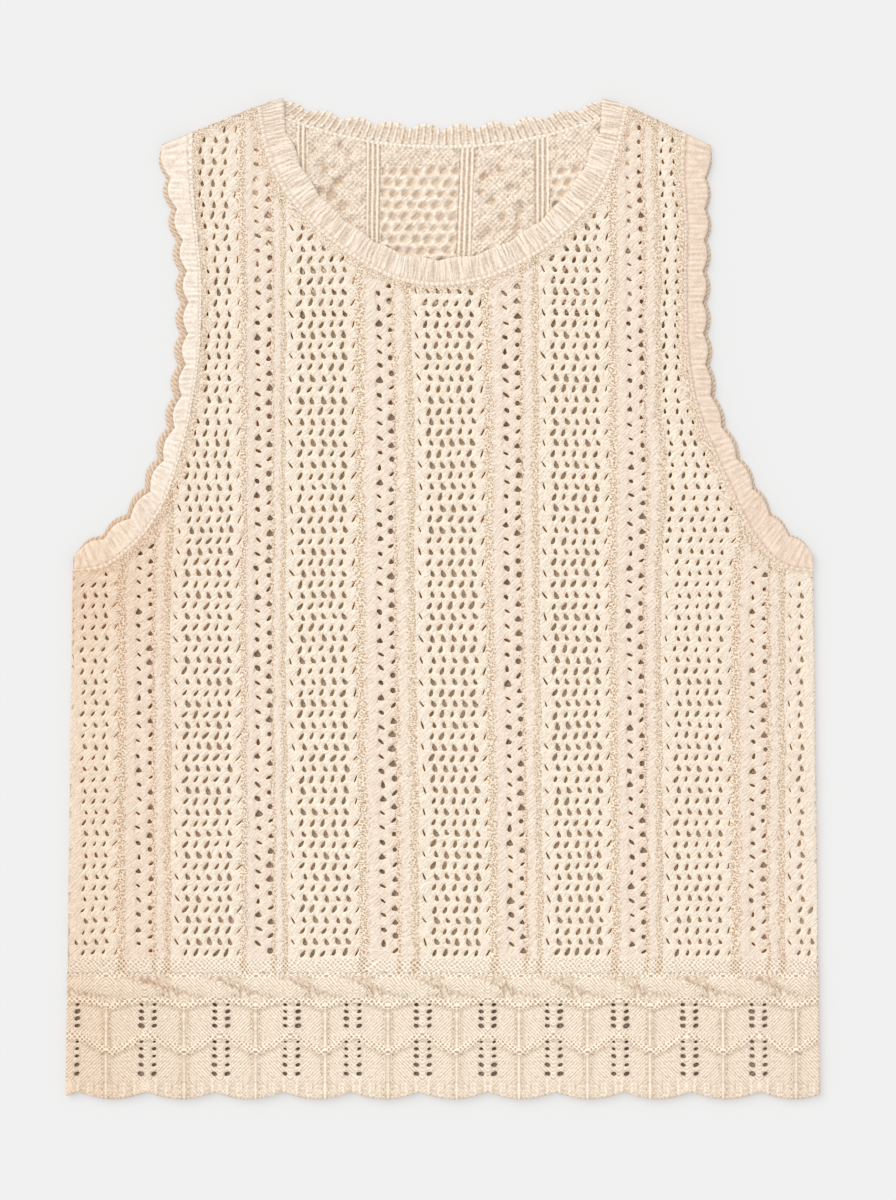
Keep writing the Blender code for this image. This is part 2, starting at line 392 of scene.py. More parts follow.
RIGHT_LEAN = hole_shape(2.35, 4.1, lean=0.7, taper=0.3)
LEFT_LEAN = hole_shape(2.45, 4.1, lean=-0.6, taper=0.55)
RIGHT_SLIT = hole_shape(1.0, 4.0, lean=0.9, taper=0.2)
LEFT_SLIT = hole_shape(1.1, 3.9, lean=-0.9, taper=0.3)
FLAT_SLIT = hole_shape(3.9, 1.6, turn=-34)
BEAN = hole_shape(3.5, 2.4, turn=-40, taper=0.2)
RISING_SLIT = hole_shape(3.6, 1.7, turn=42, taper=-0.2)
TRIANGLE = hole_shape(3.3, 3.8, taper=0.85)
SMALL_TRIANGLE = hole_shape(2.7, 3.3, taper=0.8)
ROUND = hole_shape(2.9, 3.2)
UPRIGHT = hole_shape(2.0, 3.8, taper=0.4)
LEFT_EYELETS = (
    FLAT_SLIT, FLAT_SLIT, BEAN, TRIANGLE, BEAN, FLAT_SLIT,
    FLAT_SLIT, TRIANGLE, UPRIGHT, BEAN, FLAT_SLIT,
)
RIGHT_EYELETS = (
    TRIANGLE, TRIANGLE, SMALL_TRIANGLE, RISING_SLIT, ROUND, ROUND,
    RISING_SLIT, SMALL_TRIANGLE, RISING_SLIT, ROUND, TRIANGLE,
)


def hole_point(shape, s, t, size, turn):
    """Where a point of the unit square's edge goes on the hole's edge, from its middle."""
    round_s = s * math.sqrt(1.0 - t * t / 2)
    round_t = t * math.sqrt(1.0 - s * s / 2)
    x = 0.5 * shape["width"] * round_s * (1.0 - shape["taper"] * round_t) + shape["lean"] * round_t
    y = 0.5 * shape["height"] * round_t
    angle = shape["turn"] + turn
    return (
        size * (x * math.cos(angle) - y * math.sin(angle)),
        size * (x * math.sin(angle) + y * math.cos(angle)),
    )


def pierced(cloth, ring, middle, shape, size, turn, rings, surface, flip):
    """A cell with a hole: the yarn rounds over from the cell's edge, down the hole's wall."""
    x, y, u, v = middle
    levels = [[] for _ in rings]
    for index, s, t in ring:
        dx, dy = hole_point(shape, s, t, size, turn)
        for level, (blend, rise, depth) in zip(levels, rings):
            qx, qy, qu, qv = cloth.toward(index, (x + dx, y + dy, u + dx, v + dy), blend)
            level.append(cloth.add(qx, qy, surface(qx, qy, rise), qu, qv, depth, cloth.knit[index][2]))
    outer = [index for index, _, _ in ring]
    for level in levels:
        cloth.band(outer, level, flip)
        outer = level
    return outer


def drawn_in(x, y):
    """How much the holes close up towards the sides, 0 to 1."""
    right = ramp(x, 60.0, 170.0) * (0.5 + 0.5 * ramp(y, -120.0, 40.0))
    return max(right, ramp(-x, 140.0, 190.0))


class Lattice:
    """A lace panel: columns of holes and of close knitting between upright lines."""

    def __init__(self, name, region, face_z, up, shift, hole_size, dense_columns, rings):
        self.cloth = Cloth(name)
        self.region = region
        self.face_z = face_z
        self.up = up
        self.shift = shift
        self.hole_size = hole_size
        self.rings = rings
        self.made = {}
        self.outside = set()
        self.bottoms = set()
        self.columns = []
        self.lines = []
        self.lay_columns(dense_columns)

    def lay_columns(self, dense_columns):
        """Sets out the lines as (x, u) and the columns between them, from left to right."""

        def column(kind, x, u, slot=0, stripe=0):
            self.columns.append({"kind": kind, "slot": slot, "stripe": stripe})
            self.lines.append((x + self.shift[0], u))

        for stripe, centre in enumerate(STRIPE_CENTRES):
            base = PITCH * stripe
            for slot in range(-MESH_SIDE, MESH_SIDE + 1):
                across = (slot - 0.5) * MESH_COLUMN
                column("mesh", centre + across, base + across, slot, stripe)
            if stripe + 1 == len(STRIPE_CENTRES):
                self.lines.append((centre + HALF_MESH + self.shift[0], base + HALF_MESH))
                break
            after = STRIPE_CENTRES[stripe + 1]
            middle = (centre + after) / 2 + EYELET_SHIFT
            middle_u = base + PITCH / 2 + EYELET_SHIFT
            spans = (
                (centre + HALF_MESH, middle - EYELET_COLUMN, base + HALF_MESH, middle_u - EYELET_COLUMN),
                (middle + EYELET_COLUMN, after - HALF_MESH, middle_u + EYELET_COLUMN,
                 base + PITCH - HALF_MESH),
            )
            for side, (x0, x1, u0, u1) in enumerate(spans):
                for index in range(dense_columns):
                    blend = index / dense_columns
                    column("dense", x0 + (x1 - x0) * blend, u0 + (u1 - u0) * blend)
                if side == 0:
                    column("eyelet", x1, u1, 0, stripe)
                    column("eyelet", middle, middle_u, 1, stripe)

    def line_step(self, line):
        """How many fine rows apart the points of a line are."""
        beside = self.columns[max(line - 1, 0) : line + 1]
        return 1 if any(found["kind"] == "dense" for found in beside) else 2

    def surface(self, x, y, rise):
        return self.face_z(x, y) + self.up * rise

    def place(self, key, x, y, u, rise=0.0, depth=0.0):
        """The point with that key, made once, pulled back to the outline if it is outside."""
        if key in self.made:
            return self.made[key]
        v = y
        x += uneven(x, y, 3.0)
        y += uneven(x, y, 5.0)
        gap, foot = self.region.nearest(x, y)
        if gap < 0.0:
            if gap < -LOST_BEYOND:
                self.made[key] = None
                return None
            x, y = float(foot[0]), float(foot[1])
            rise = min(rise, 0.0)
        rise += 0.12 * wobble(x, y, 3.1, 1.0) + 0.25 * wobble(x, y, 17, 2.0)
        beside_band = (1.0 - ramp(gap, 4.0, 7.0)) * ramp(y, UNDERARM_Y - 6.0, UNDERARM_Y + 4.0)
        index = self.cloth.add(x, y, self.surface(x, y, rise), u, v, depth, beside_band)
        if gap < 0.0:
            self.outside.add(index)
        self.made[key] = index
        return index

    def row_y(self, row):
        return LEANING_ROW_Y - (ROWS_BELOW + 0.5) * MESH_ROWS * ROW + row * ROW + self.shift[1]

    def line_point(self, line, row):
        x, u = self.lines[line]
        y = self.row_y(row)
        beside = self.columns[max(line - 1, 0) : line + 1]
        inner = all(found["kind"] == "mesh" for found in beside)
        w = (u + HALF_MESH) % PITCH - HALF_MESH
        rise = sum(RIDGE_RISE * hump(w, low, high) for low, high in DENSE_RIDGES)
        if inner:
            x -= ZIGZAG * math.cos(math.pi * (y - self.shift[1] - LEANING_ROW_Y) / (MESH_ROWS * ROW))
        return self.place((line, row), x, y, u, rise)

    def edge_point(self, line, row, step):
        """A point on the level edge between two cells, between a line and the next."""
        blend = step / EDGE_STEPS
        x = self.lines[line][0] * (1 - blend) + self.lines[line + 1][0] * blend
        u = self.lines[line][1] * (1 - blend) + self.lines[line + 1][1] * blend
        return self.place((line, row, step), x, self.row_y(row), u)

    def ring(self, line, low, high):
        """The points round a cell, anticlockwise, each with its place on the unit square."""
        found = []

        def side(at_line, s, rows):
            for row in rows:
                t = 2.0 * (row - low) / (high - low) - 1.0
                found.append((self.line_point(at_line, row), s, t))

        def level(row, t, order):
            for step in order:
                found.append((self.edge_point(line, row, step), 2.0 * step / EDGE_STEPS - 1.0, t))

        left, right = self.line_step(line), self.line_step(line + 1)
        found.append((self.line_point(line, low), -1.0, -1.0))
        level(low, -1.0, range(1, EDGE_STEPS))
        side(line + 1, 1.0, range(low, high, right))
        found.append((self.line_point(line + 1, high), 1.0, 1.0))
        level(high, 1.0, range(EDGE_STEPS - 1, 0, -1))
        side(line, -1.0, range(high, low, -left))
        return found

    def shape_for(self, column, order, centre_y):
        """The hole that a cell has, or None where it is knitted closed."""
        if centre_y < LOWEST_HOLE_Y:
            return None
        if column["kind"] == "eyelet":
            kinds = RIGHT_EYELETS if column["slot"] else LEFT_EYELETS
            return kinds[(order + 3 * column["stripe"]) % len(kinds)]
        leans_right = (order - ROWS_BELOW) % 2 == 0
        if column["slot"] == MESH_SIDE:
            return RIGHT_SLIT if leans_right else None
        on_strap = column["stripe"] == STRAP_STRIPE and centre_y > STRAP_FROM_Y
        if column["slot"] == -MESH_SIDE and not on_strap:
            return None if leans_right else LEFT_SLIT
        return RIGHT_LEAN if leans_right else LEFT_LEAN

    def cell(self, line, low, high, order):
        column = self.columns[line]
        ring = self.ring(line, low, high)
        indices = [found[0] for found in ring]
        if None in indices or self.outside.issuperset(indices):
            return
        cloth = self.cloth
        corners = np.array([cloth.points[index][:2] for index in indices]) / MM
        x, y = corners.mean(axis=0)
        u = sum(cloth.knit[index][0] for index in indices) / len(indices)
        v = sum(cloth.knit[index][1] for index in indices) / len(indices)
        gap, _ = self.region.nearest(x, y)
        at_side = abs(abs(x) - side_x(y)) < SIDE_EDGE and y < UNDERARM_Y - 12.0
        margin = SIDE_MARGIN if at_side else MARGIN
        shape = None
        if not self.outside.intersection(indices) and gap > margin:
            shape = self.shape_for(column, order, self.row_y((low + high) / 2))
        if shape is None:
            self.fill(ring, x, y, u, v)
        else:
            self.pierce(ring, x, y, u, v, shape, 1.0 if at_side else 0.75 + 0.25 * ramp(gap, 3.0, 8.0))

    def fill(self, ring, x, y, u, v):
        """A closed cell: a ring halfway in and a middle point."""
        cloth = self.cloth
        indices = [index for index, _, _ in ring]
        inner = []
        for index in indices:
            px, py, pu, pv = cloth.toward(index, (x, y, u, v), 0.5)
            rise = 0.1 + 0.15 * wobble(px, py, 2.6, 4.0)
            inner.append(cloth.add(px, py, self.surface(px, py, rise), pu, pv, 0.0, cloth.knit[index][2]))
        middle = cloth.add(x, y, self.surface(x, y, 0.1), u, v, 0.0, cloth.knit[indices[0]][2])
        cloth.band(indices, inner, self.up < 0)
        for at, index in enumerate(inner):
            cloth.add_face((index, inner[(at + 1) % len(inner)], middle), self.up < 0)

    def pierce(self, ring, x, y, u, v, shape, scale):
        """A cell with a hole of about that shape, which chance, the strap and the side change."""
        on_strap = ramp(abs(x), 92.0, 112.0) * ramp(y, 20.0, 90.0)
        size = scale * self.hole_size * random.uniform(*HOLE_SIZES) * (1.0 - DRAWN_IN * drawn_in(x, y))
        leans = shape["lean"] != 0.0
        slanted = ramp(-x, 30.0, 110.0) * (shape["lean"] > 0.0)
        width = shape["width"] * (1.0 - 0.22 * on_strap) * (1.0 - 0.14 * slanted)
        lean = shape["lean"] * (1.0 - 0.5 * on_strap) * (1.0 + 0.6 * slanted)
        turn = math.radians(random.uniform(-HOLE_TURN, HOLE_TURN))
        x += random.uniform(-HOLE_STRAY, HOLE_STRAY) - STAGGER * math.copysign(1.0, shape["lean"]) * leans
        y += random.uniform(-HOLE_STRAY, HOLE_STRAY)
        shape = dict(shape, width=width, lean=lean)
        middle = (x, y, u, v)
        bottom = pierced(self.cloth, ring, middle, shape, size, turn, self.rings, self.surface, self.up < 0)
        self.bottoms.update(bottom)

    def build(self, first_line, last_line):
        """Makes the cells and close knitting between two lines, with the open edges turned."""
        rows = int((NECK_POINT[1] + 4 - self.row_y(0)) / ROW)
        for line in range(first_line, last_line):
            column = self.columns[line]
            if column["kind"] == "dense":
                for row in range(rows):
                    corners = (
                        self.line_point(line, row),
                        self.line_point(line + 1, row),
                        self.line_point(line + 1, row + 1),
                        self.line_point(line, row + 1),
                    )
                    if None not in corners and not self.outside.issuperset(corners):
                        self.cloth.add_face(corners, self.up < 0)
                continue
            height = EYELET_ROWS if column["kind"] == "eyelet" else MESH_ROWS
            start = -EYELET_ROWS // 2 if column["kind"] == "eyelet" and column["slot"] else 0
            for order, low in enumerate(range(start, rows, height)):
                self.cell(line, low, low + height, order)
        split = {self.made.get((line, row)) for line in (first_line, last_line) for row in range(rows + 1)}
        turn_rim(self.cloth, self.up, self.bottoms | split)
        return self.cloth


# Depth on a turned edge is how far the shader tints it with its painted light and shade colour.
RIM_STEPS = ((0.5, 0.9, 0.1), (0.2, 2.0, 0.3))  # out, down and depth, from the edge on


def turn_rim(cloth, up, closed):
    """Turns the open edge down, rounded. Points in closed are left as they are."""
    rim = {}
    edges = []
    for start, end in cloth.used_once():
        if start in closed and end in closed:
            continue
        edges.append((start, end))
        a = cloth.points[start]
        b = cloth.points[end]
        for index in (start, end):
            sum_x, sum_y = rim.get(index, (0.0, 0.0))
            rim[index] = (sum_x + up * (b[1] - a[1]), sum_y + up * (a[0] - b[0]))
    turned = {}
    for index, (out_x, out_y) in rim.items():
        size = math.hypot(out_x, out_y) or 1.0
        x, y, z = (value / MM for value in cloth.points[index])
        u, v, kind = cloth.knit[index]
        turned[index] = [index]
        for out, down, depth in RIM_STEPS:
            turned[index].append(
                cloth.add(x + out * out_x / size, y + out * out_y / size, z - down * up, u, v, depth, kind)
            )
    for start, end in edges:
        for step in range(len(RIM_STEPS)):
            near_start, far_start = turned[start][step : step + 2]
            near_end, far_end = turned[end][step : step + 2]
            cloth.add_face((near_end, near_start, far_start, far_end))


# The rings of a hole: how far in to its edge, how high above the face, and depth, how far the shader tints
# it with its painted light and shade colour
FRONT_RINGS = ((0.6, -0.1, 0.0), (1.0, -0.75, 0.5), (1.0, -1.9, 1.0))
BACK_RINGS = ((1.0, -0.5, 0.2), (1.0, -1.3, 0.6))
HEM_RINGS = ((0.7, -0.05, 0.0), (1.0, -0.7, 0.3), (1.0, -1.9, 1.0))


def lattice_panel(name, outline, face_z, up, shift, hole_size, dense_columns, rings, material, node):
    """A lace panel in two pieces that meet along a line of close knitting."""
    region = Region(outline)
    for at, side in enumerate(("left", "right")):
        lattice = Lattice(f"{name}_{side}", region, face_z, up, shift, hole_size, dense_columns, rings)
        ends = [abs(x - SPLIT_X - shift[0]) for x, _ in lattice.lines]
        split = ends.index(min(ends))
        first, last = ((0, split), (split, len(lattice.columns)))[at]
        piece = lattice.build(first, last).make(material, node, "lace_knit")
        clipped(outline, lattice.lines[split][0], 2 * at - 1)


# Hem border: a cable along its top, two tiers of chevrons, ribs and pairs of eyelets

EYELET_PAIRS = (-165.0, -124.0, -84.6, -50.4, -11.2, 25.0, 62.0, 99.0, 137.8, 176.4)
LONE_EYELET_X = -204.5
RIBS = (-188.7, -145.0, -105.0, -66.0, -30.8, 7.8, 42.6, 81.0, 116.0, 156.8, 197.7)
HEM_HOLE_ROWS = ((-227.6, 0.8), (-231.4, 1.0), (-235.3, 1.05), (-239.4, 1.15),
                 (-248.4, 0.7), (-252.3, 0.85), (-256.4, 0.95), (-261.3, 1.05), (-266.3, 1.1))
TIER_TOPS = (0, 4, len(HEM_HOLE_ROWS))  # the rows that start a tier, and the end
HEM_HOLE = hole_shape(3.1, 2.15)
CABLE_Y = -217.6
CREASE_X = 9.5  # how far to the right of each pair of eyelets the cable is creased
CELL_STEPS = 4
CELL_HALF_WIDTH = 2.5
PAIR_HALF_GAP = 1.1
HEM_STEP = 1.15
CHEVRON_TOPS = (-224.3, -244.5)  # y at a pair of eyelets
CHEVRON_DIPS = (4.0, 9.5)  # how much lower midway to the next pair
LEAF_RISE, CHEVRON_RISE, RIB_RISE = 1.7, 0.8, 0.45
BELOW_CABLE = (229.5, 231.0)  # the ribs start between these depths
GARTER_Y = -211.8  # seed stitch above this
PRESSED_FLAT = 0.4  # how much of its relief the back hem keeps, lying on it


def nearest_of(x, places):
    return min(places, key=lambda place: abs(place - x))


def between_pairs(x):
    """0 at a pair of eyelets and 1 midway to the next."""
    places = (-206.0, *EYELET_PAIRS, 214.0)
    for left, right in zip(places, places[1:]):
        if left <= x <= right:
            return 1.0 - abs(2.0 * (x - left) / (right - left) - 1.0)
    return 0.0


def leaf_at(x, y):
    """The cable's relief: 1 on the crown of a leaf, 0 at its outline and in the creases."""
    creases = [-216.0] + [pair + CREASE_X for pair in EYELET_PAIRS] + [222.0]
    for left, right in zip(creases, creases[1:]):
        if left <= x < right:
            along = 2.0 * (x - left) / (right - left) - 1.0
            across = (y - CABLE_Y + 3.0 * along) / (5.6 * (1.0 - 0.55 * along * along))
            return math.sqrt(max(0.0, 1.0 - along**4 - across * across))
    return 0.0


def hem_relief(x, y):
    """(rise, groove, kind of stitch) of the hem border at a point; the groove is painted shade."""
    away = between_pairs(x)
    rib_gap = abs(x - nearest_of(x, RIBS))
    cable_half = 6.6 - 2.2 * away**3
    cable = max(0.0, 1.0 - ((y - CABLE_Y) / cable_half) ** 2)
    leaf = leaf_at(x, y)
    first_ridge = CHEVRON_TOPS[0] - CHEVRON_DIPS[0] * away**1.5
    second_ridge = CHEVRON_TOPS[1] - CHEVRON_DIPS[1] * away
    ridges = max(
        hump(y, first_ridge - 2.6, first_ridge + 2.2), hump(y, second_ridge - 2.6, second_ridge + 2.6)
    )
    below = ramp(-y, *BELOW_CABLE)
    rib = hump(rib_gap, -2.4, 2.4) * below
    rise = LEAF_RISE * leaf + CHEVRON_RISE * ridges + RIB_RISE * rib
    rise += 0.25 * wobble(x, y, 4.0, 31.0)
    # Painted shadow under each ridge, and painted shade in the cable's creases and beside the ribs.
    shadow_under_ridge = max(
        hump(y, first_ridge - 4.0, first_ridge - 1.6), hump(y, second_ridge - 4.4, second_ridge - 2.0)
    )
    crease = cable * smoothstep((0.5 - leaf) / 0.5)
    groove = 0.4 * shadow_under_ridge + (0.36 + 0.8 * wobble(x, y, 2.0, 33.0)) * crease
    groove += 0.4 * hump(rib_gap, 1.4, 3.6) * below * (1.0 - ridges) * (0.8 + wobble(x, y, 5.0, 34.0))
    seeded = ridges > 0.2 + 0.19 * wobble(x, y, 6.0, 35.0)
    hatched = cable > 0.1 and leaf < 0.42 + 0.5 * wobble(x, y, 5.0, 36.0)
    if rib_gap < 1.9 and below > 0.5 and ridges < 0.3:
        kind = RIBBED
    elif seeded or (y > GARTER_Y and not hatched):
        kind = SEEDED
    else:
        kind = HATCHED if hatched else PLAIN
    return rise, min(max(groove, 0.0), 0.8), kind


def spread(places, goal, count):
    """Adds that many even places, the last of them at the goal."""
    start = places[-1]
    places.extend(start + (goal - start) * step / count for step in range(1, count + 1))


def fill_to(places, goal):
    spread(places, goal, max(1, round(abs(goal - places[-1]) / HEM_STEP)))


def hem_stations(flip):
    """The hem's upright lines, and where each cell of eyelets starts among them."""
    sign = -1.0 if flip else 1.0
    middles = [LONE_EYELET_X]
    for centre in EYELET_PAIRS:
        middles += [centre + side * (PAIR_HALF_GAP + CELL_HALF_WIDTH) for side in (-1, 1)]
    edge = side_x(HEM_SEAM_Y)
    places = [-edge]
    cells = []
    for middle in sorted(sign * middle for middle in middles):
        fill_to(places, middle - CELL_HALF_WIDTH)
        cells.append(len(places) - 1)
        spread(places, middle + CELL_HALF_WIDTH, CELL_STEPS)
    fill_to(places, edge)
    return places, cells


def hem_lines():
    """The hem's level lines, from the seam down, where each row of eyelets starts, and the last's end."""
    centres = [centre for centre, _ in HEM_HOLE_ROWS]
    places = [HEM_SEAM_Y + 0.6]
    rows = []
    for at, centre in enumerate(centres):
        above = centre + 3.9 if at in TIER_TOPS else centres[at - 1]
        below = centre - 4.4 if at + 1 in TIER_TOPS else centres[at + 1]
        top, bottom = (above + centre) / 2, (centre + below) / 2
        if places[-1] - top > 0.01:
            fill_to(places, top)
        rows.append(len(places) - 1)
        spread(places, bottom, CELL_STEPS)
    last = len(places) - 1
    fill_to(places, HEM_EDGE_Y)
    return places, rows, last


def cell_edge(count):
    """The grid points round a cell, as (across, down), anticlockwise from its lower left corner."""
    steps = range(count)
    bottom = [(step, count) for step in steps]
    right = [(count, count - step) for step in steps]
    top = [(count - step, 0) for step in steps]
    return bottom + right + top + [(0, step) for step in steps]


def hem_border(name, face_z, up, flip_x, rings, material, node, pressed=1.0):
    """A hem border: a grid with relief, pierced by eyelets, and its edge turned."""
    cloth = Cloth(name)
    xs, cells = hem_stations(flip_x)
    ys, hole_rows, last = hem_lines()
    sign = -1.0 if flip_x else 1.0

    def surface(x, y, rise):
        return face_z(x, y) + up * rise

    made = {}

    def point(column, line):
        key = (column, line)
        if key not in made:
            x = xs[column] * side_x(ys[line]) / side_x(HEM_SEAM_Y)
            y = ys[line]
            if line > last:
                blend = (line - last) / (len(ys) - 1 - last)
                y = ys[last] + (hem_y(x) - ys[last]) * blend
            rise, groove, kind = hem_relief(sign * x, y)
            rise += 0.25 * wobble(x, y, 15, 2.0) + 0.1 * wobble(x, y, 3.0, 6.0)
            rise *= pressed * ramp(side_x(y) - abs(x), 0.0, 9.0)
            u = abs(sign * x - nearest_of(sign * x, RIBS))
            if line == len(ys) - 1:
                rise -= 0.3
            made[key] = cloth.add(x, y, surface(x, y, rise), u, y, groove, kind)
        return made[key]

    taken = set()
    bottoms = set()
    half_cell = CELL_STEPS / 2
    for column in cells:
        opened = random.uniform(0.84, 1.08)
        for order, line in enumerate(hole_rows):
            ring = [
                (point(column + across, line + down), across / half_cell - 1, 1 - down / half_cell)
                for across, down in cell_edge(CELL_STEPS)
            ]
            taken.update((column + i, line + j) for i in range(CELL_STEPS) for j in range(CELL_STEPS))
            centre_y, size = HEM_HOLE_ROWS[order]
            x = 0.5 * (xs[column] + xs[column + CELL_STEPS]) * side_x(centre_y) / side_x(HEM_SEAM_Y)
            away = sign * x - nearest_of(sign * x, (LONE_EYELET_X - 3.0, *EYELET_PAIRS))
            tilt = math.copysign(20.0, away) + random.uniform(-10, 10)
            turn = math.radians(sign * tilt)
            size = size * opened * random.uniform(0.8, 1.1)
            rise = pressed * hem_relief(sign * x, centre_y)[0]
            lifted = [(blend, rise * 0.4 + drop, depth) for blend, drop, depth in rings]
            middle = (x, centre_y, abs(sign * x - nearest_of(sign * x, RIBS)), centre_y)
            bottoms.update(pierced(cloth, ring, middle, HEM_HOLE, size, turn, lifted, surface, up < 0))
    for column in range(len(xs) - 1):
        for line in range(len(ys) - 1):
            if (column, line) not in taken:
                cloth.add_face((point(column, line + 1), point(column + 1, line + 1),
                                point(column + 1, line), point(column, line)), up < 0)
    turn_rim(cloth, up, bottoms)
    edge = [Vector((x, hem_y(x))) for x in reversed(xs)]
    cloth.make(material, node, "lace_knit")


# Bands: how far across each point is, from the free edge, and how high

BAND_ACROSS = ((0.0, 0.9), (0.03, 1.55), (0.08, 1.95), (0.15, 2.1), (0.23, 2.1), (0.31, 2.05), (0.39, 2.05),
               (0.47, 2.0), (0.55, 2.0), (0.63, 2.0), (0.71, 1.95), (0.79, 1.9), (0.86, 1.75), (0.92, 2.0),
               (0.97, 2.4), (1.02, 2.35), (1.06, 1.8))
BAND_BACK = ((BAND_ACROSS[-1][0], 0.05), (0.0, 0.15))  # the flat back, from the seam to the free edge
BAND_STEP = 0.62
FRONT_NECK_RIBS, BACK_NECK_RIBS, ARM_RIBS = 8, 5, 6  # to a scallop


def turning(cloth, face):
    """Twice the area of a face's first triangle seen from above, positive if it faces up."""
    a, b, c = (cloth.points[index] for index in face[:3])
    return (b[0] - a[0]) * (c[1] - a[1]) - (b[1] - a[1]) * (c[0] - a[0])


def band(name, edge, seam, scallop, height, ribs, node, material, peek=0.0, rib_rise=0.3, rib_groove=0.35,
         rib_kind=PLAIN, rests_on=()):
    """A ribbed band, closed all round: relief on top, a bumpy free edge and a flat back."""
    cloth = Cloth(name)
    bumps = bump_count(edge, scallop)
    per_bump = max(8, round(scallop["pitch"] / BAND_STEP))
    pairs = resample(edge, seam, bumps * per_bump)
    sections = []
    for index, (edge_point, seam_point) in enumerate(pairs):
        phase = (index % per_bump) / per_bump
        bump = math.sin(math.pi * phase)
        along = max(math.sin(math.pi * index / (len(pairs) - 1)), 0.0)
        inward = (seam_point - edge_point).normalized()
        free = edge_point + inward * (scallop["depth"] * (1.0 - bump) + peek * math.sqrt(along))
        width = (seam_point - free).length
        u = scallop["pitch"] * index / per_bump
        rib = math.cos(2.0 * math.pi * ribs * (index / per_bump + 0.5 / ribs))
        section = []
        for across, rise in BAND_ACROSS:
            place = free.lerp(seam_point, across)
            strength = hump(across, -0.1, 0.95)
            top = rise + rib_rise * strength * rib + 0.12 * wobble(place.x, place.y, 4.0, 8.0)
            top += 0.2 * wobble(place.x, place.y, 18.0, 2.0)
            # Painted shade between the ribs and beside the seam.
            groove = rib_groove * strength * (0.5 - 0.5 * rib) ** 4 + 0.3 * hump(across, 0.8, 0.93)
            kind = CHAINED if across > 0.9 else rib_kind
            z = height(place.x, place.y) + top
            section.append(cloth.add(place.x, place.y, z, u, width * across, groove, kind))
        for across, rise in BAND_BACK:
            place = free.lerp(seam_point, across)
            z = height(place.x, place.y) + rise
            # The flat back gets a little painted shade.
            section.append(cloth.add(place.x, place.y, z, u, width * across, 0.4))
        sections.append(section)
    for first, second in zip(sections, sections[1:]):
        cloth.band(first, second)
    for end, reverse in ((sections[0], False), (sections[-1], True)):
        cloth.add_face(end, reverse)
    area = sum(turning(cloth, face) for face in cloth.faces[: len(BAND_ACROSS) - 1])
    if area < 0:
        cloth.faces = [tuple(reversed(face)) for face in cloth.faces]
    lay_strip(cloth.make(material, node, "rib_trim"), edge, seam, rests_on)


# Yoke: the inside of the back, seen through the neck

YOKE_REACH = 110.0
YOKE_BOTTOM = 160.0
YOKE_STEP = 0.6
YOKE_FACE = 1.55
YOKE_FLOOR = 0.3  # no pit goes deeper than this
YOKE_MESH = ((-34.0, 9.5), (60.0, 84.0))
YOKE_RIBS = ((-82.0, -77.0), (-43.0, -35.0), (9.5, 18.0), (51.0, 59.5))
YOKE_PITS = (  # x, y and half width
    (-62.0, 226.0, 3.4), (-56.0, 220.0, 3.0), (-58.5, 234.0, 2.6), (-66.0, 240.0, 2.4), (-68.0, 229.0, 2.4),
    (24.0, 237.0, 2.4), (32.0, 241.0, 2.2), (38.0, 231.0, 2.6), (28.0, 223.0, 2.6), (34.0, 214.0, 2.8),
    (44.0, 221.0, 2.4), (27.0, 206.0, 2.8), (41.0, 206.0, 2.6), (46.0, 238.0, 2.0), (22.0, 228.0, 2.0),
)
DIMPLE_PITCH = (7.0, 6.4)
YOKE_RIB_PITCH = 2.8


def yoke_relief(x, y):
    """(rise, groove, kind of stitch) of the back's inner side at a point; the groove is painted shade."""
    near_seam = ramp(y, BACK_SEAM_Y - 12.0, BACK_SEAM_Y - 8.5)
    lumps = wobble(x, y, 1.9, 12.0)
    for low, high in YOKE_RIBS:
        if low <= x <= high:
            bent = x + 0.5 * wobble(x, y, 9, 15.0)
            rib = 0.5 + 0.5 * math.cos(2.0 * math.pi * bent / YOKE_RIB_PITCH)
            # Painted shade between the ribs.
            return 0.9 * rib + 0.15 * lumps, 0.4 * (1.0 - rib) ** 2, UPRIGHT_RIB
    for low, high in YOKE_MESH:
        if low <= x <= high and near_seam < 0.5:
            warp = 1.3 * wobble(x, y, 9, 3.0)
            row = math.floor((y + warp) / DIMPLE_PITCH[1])
            shift = 0.5 * (row % 2)
            fx = ((x + warp - low) / DIMPLE_PITCH[0] + shift) % 1.0 - 0.5
            fy = ((y + warp) / DIMPLE_PITCH[1]) % 1.0 - 0.5
            gap = math.hypot(fx * DIMPLE_PITCH[0] / 3.1, (fy + 0.35 * abs(fx)) * DIMPLE_PITCH[1] / 2.4)
            dimple = smoothstep((1.2 - gap) * 1.3)
            # Painted shade on the left side of each dimple, where the light from the upper left doesn't
            # reach.
            shade = dimple * smoothstep(0.75 - 1.8 * fx)
            knob = smoothstep(gap - 1.0)
            return 0.9 - 2.4 * dimple + 0.7 * knob + 0.7 * lumps, 0.55 * shade, PLAIN
    pit = 0.0
    for px, py, size in YOKE_PITS:
        away = math.hypot(x - px + 1.5 * wobble(x, y, 4, 21.0), y - py + 1.5 * wobble(x, y, 4, 22.0))
        pit = max(pit, smoothstep(1.4 - away / size))
    rough = wobble(x, y, 5.0, 14.0)
    beads = math.sin(2.2 * (x + 1.1 * rough)) * math.sin(2.1 * (y + 1.2 * rough))
    # Painted shade in the pits and the low parts of the purl.
    groove = 0.5 * pit + 0.35 * max(0.0, -beads) + 0.9 * max(0.0, -0.12 - rough)
    return 0.6 + 0.85 * beads + 2.0 * rough + 0.3 * lumps - 1.8 * pit, min(groove, 0.8), PURLED


def yoke_top(x):
    reach = NECK_ROWS[0][2]
    if abs(x) >= reach:
        return shoulder_y(abs(x)) - 0.2
    rise = (shoulder_y(reach) - BACK_SEAM_Y) * (abs(x) / reach) ** BACK_SEAM_POWER
    return BACK_SEAM_Y + rise - SEAM_INSET


